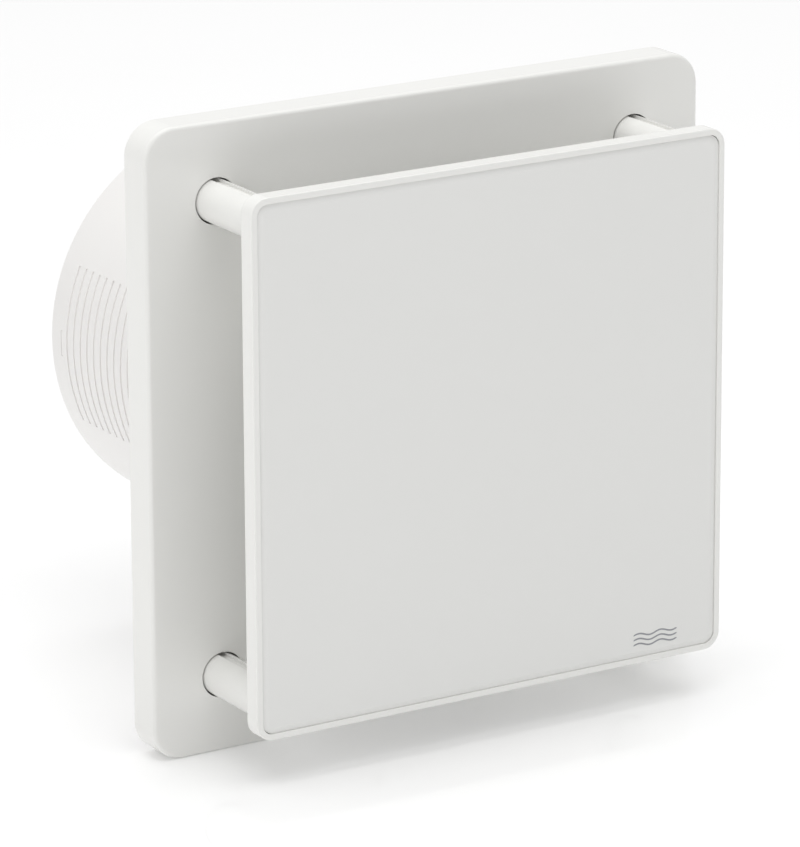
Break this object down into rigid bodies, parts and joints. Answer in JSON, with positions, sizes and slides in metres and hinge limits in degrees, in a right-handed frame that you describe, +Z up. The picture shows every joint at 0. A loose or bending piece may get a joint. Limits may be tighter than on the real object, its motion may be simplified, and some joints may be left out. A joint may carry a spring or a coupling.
{
  "type": "heat recovery unit",
  "caption": "Room side of a wall-mounted heat recovery ventilator: square plate, floating square cover on posts, round duct spigot with fan and ceramic core.",
  "frame": {"origin": "duct axis where it crosses the wall's surface", "axes": "+Y into the wall along the duct, -Y towards the room, +X right as seen from the room, +Z up"},
  "size_m": [0.231, 0.1923, 0.231],
  "materials": {
    "white_abs": "smooth white plastic, satin gloss",
    "duct_plastic": "white moulded plastic, slightly duller than the front",
    "white_glass": "polished sheet, white behind a clear face",
    "foam_tape": "dark foam tape",
    "seal_foam": "closed-cell foam, dark grey",
    "sleeve_foam": "expanded bead foam, off-white",
    "rubber": "soft black rubber",
    "zinc_steel": "zinc-plated steel",
    "filter_media": "non-woven filter fleece",
    "coarse_media": "coarse open foam, dark grey",
    "grey_plastic": "moulded grey plastic",
    "black_plastic": "glass-filled black plastic",
    "board_laminate": "green board laminate with solder mask",
    "chip_black": "black moulding compound",
    "can_aluminium": "drawn aluminium can",
    "connector_white": "natural nylon",
    "wire_jacket": "soft coloured wire jacket",
    "lead_jacket": "black lead jacket",
    "steel": "ground steel",
    "polished_steel": "polished ball steel",
    "spring_steel": "drawn spring steel",
    "lamination": "stacked electrical steel, varnished",
    "copper": "enamelled copper wire",
    "magnet": "bonded ferrite",
    "ceramic": "unglazed fired ceramic"
  },
  "bodies": {
    "housing": {"base_plate": "white_abs", "duct_flange": "duct_plastic", "duct_tube": "duct_plastic", "wall_gasket": "seal_foam", "flange_screws": "zinc_steel", "cable_grommet": "rubber", "terminal_hatch": "white_abs", "hatch_screw": "zinc_steel", "terminal_block": "connector_white", "terminal_screws": "zinc_steel", "control_board": "board_laminate", "board_screws": "zinc_steel", "power_module": "chip_black", "board_chips": "chip_black", "board_capacitors": "can_aluminium", "board_connectors": "connector_white", "supply_wires": "wire_jacket", "motor_lead": "lead_jacket", "fan_shroud": "black_plastic", "hub_cap": "black_plastic", "damper_ring_front": "rubber", "damper_ring_rear": "rubber", "motor_pcb": "board_laminate", "stator_core": "lamination", "stator_winding": "copper", "bearing_outer_races": "steel", "bearing_balls": "polished_steel", "flow_straightener": "grey_plastic", "core_sleeve": "sleeve_foam", "regenerator_core": "ceramic", "rear_filter": "coarse_media", "rear_grille": "duct_plastic"},
    "cover": {"panel_frame": "white_abs", "front_panel": "white_glass", "panel_tape": "foam_tape", "cover_post_upper_left": "white_abs", "cover_post_upper_right": "white_abs", "cover_post_lower_left": "white_abs", "cover_post_lower_right": "white_abs", "post_screws": "zinc_steel"},
    "filter_cassette": {"filter_frame": "grey_plastic", "filter_pad": "filter_media", "filter_tab": "rubber"},
    "rotor": {"bearing_inner_races": "steel", "rotor_shaft": "steel", "shaft_circlip": "spring_steel", "preload_spring": "spring_steel", "rotor_cup": "steel", "rotor_magnet": "magnet", "impeller": "black_plastic"}
  },
  "joints": [
    {"name": "cover_pull", "type": "slide", "parent": "housing", "child": "cover", "axis": [0, -1, 0], "range_m": [0, 0.04]},
    {"name": "filter_draw", "type": "slide", "parent": "housing", "child": "filter_cassette", "axis": [0, -1, 0], "range_m": [0, 0.025]},
    {"name": "rotor_spin", "type": "hinge", "parent": "housing", "child": "rotor", "pos_m": [0, 0.033, 0], "axis": [0, 1, 0], "continuous": true}
  ]
}
